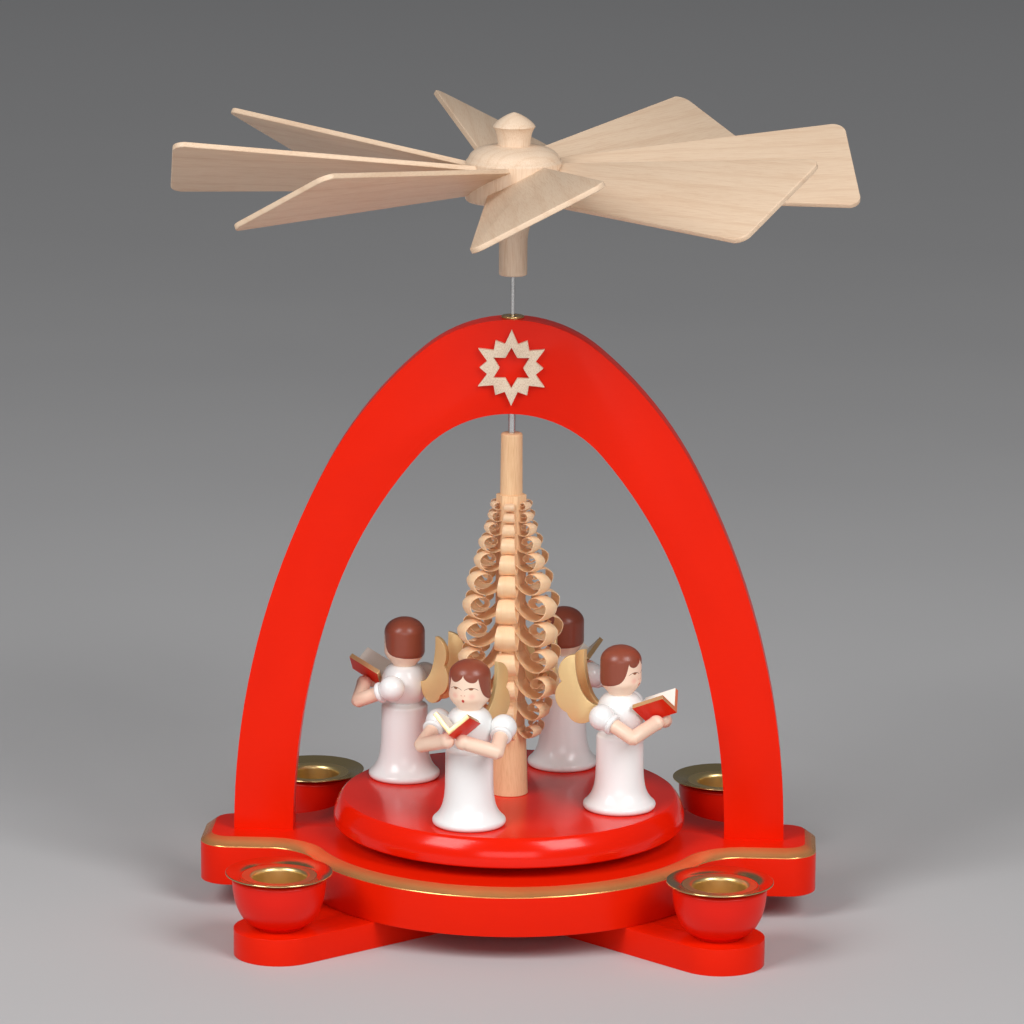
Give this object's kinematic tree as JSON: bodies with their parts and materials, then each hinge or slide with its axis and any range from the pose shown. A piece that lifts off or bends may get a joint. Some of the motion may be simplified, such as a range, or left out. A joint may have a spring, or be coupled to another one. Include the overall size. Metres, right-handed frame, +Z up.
{
  "type": "christmas pyramid",
  "caption": "Wooden candle carousel: angels ride on a turntable round a curl tree under a painted arch, turned by slanted blades in the candles' warm air.",
  "frame": {"origin": "on the floor under the axis that the carousel turns about", "axes": "+Z up along the axis; -Y is the front, where the star is; +X is to the right of the front"},
  "size_m": [0.228, 0.228, 0.27],
  "materials": {
    "red_lacquer": "gloss lacquer",
    "pale_wood": "bare, smooth",
    "lime_wood": "bare, satin",
    "white_paint": "satin paint",
    "skin_paint": "satin paint",
    "gold_paint": "matt metallic paint",
    "book_paint": "satin paint",
    "brass": "satin",
    "steel": "bright drawn"
  },
  "bodies": {
    "stand": {"cross_bar_lower": "red_lacquer", "cross_bar_upper": "red_lacquer", "base_screws": "steel", "base_plate": "red_lacquer", "bearing_cup": "brass", "arch": "red_lacquer", "arch_dowels": "pale_wood", "star": "pale_wood", "arch_bush": "brass", "bowl_dowels": "pale_wood", "candle_bowl_1": "red_lacquer", "candle_cup_1": "brass", "candle_bowl_2": "red_lacquer", "candle_cup_2": "brass", "candle_bowl_3": "red_lacquer", "candle_cup_3": "brass", "candle_bowl_4": "red_lacquer", "candle_cup_4": "brass"},
    "carousel": {"turntable": "red_lacquer", "pivot_pin": "steel", "curl_tree": "lime_wood", "drive_tube": "steel", "rotor_rod": "steel", "rotor_hub": "pale_wood", "blade_1": "pale_wood", "blade_2": "pale_wood", "blade_3": "pale_wood", "blade_4": "pale_wood", "blade_5": "pale_wood", "blade_6": "pale_wood", "blade_7": "pale_wood", "blade_8": "pale_wood", "angel_1_robe": "white_paint", "angel_1_head": "skin_paint", "angel_1_arm_left": "white_paint", "angel_1_arm_right": "white_paint", "angel_1_book": "book_paint", "angel_1_wing_left": "gold_paint", "angel_1_wing_right": "gold_paint", "angel_2_robe": "white_paint", "angel_2_head": "skin_paint", "angel_2_arm_left": "white_paint", "angel_2_arm_right": "white_paint", "angel_2_book": "book_paint", "angel_2_wing_left": "gold_paint", "angel_2_wing_right": "gold_paint", "angel_3_robe": "white_paint", "angel_3_head": "skin_paint", "angel_3_arm_left": "white_paint", "angel_3_arm_right": "white_paint", "angel_3_book": "book_paint", "angel_3_wing_left": "gold_paint", "angel_3_wing_right": "gold_paint", "angel_4_robe": "white_paint", "angel_4_head": "skin_paint", "angel_4_arm_left": "white_paint", "angel_4_arm_right": "white_paint", "angel_4_book": "book_paint", "angel_4_wing_left": "gold_paint", "angel_4_wing_right": "gold_paint"}
  },
  "joints": [
    {"name": "carousel_spin", "type": "hinge", "parent": "stand", "child": "carousel", "pos_m": [0, 0, 0.025], "axis": [0, 0, 1], "continuous": true}
  ]
}
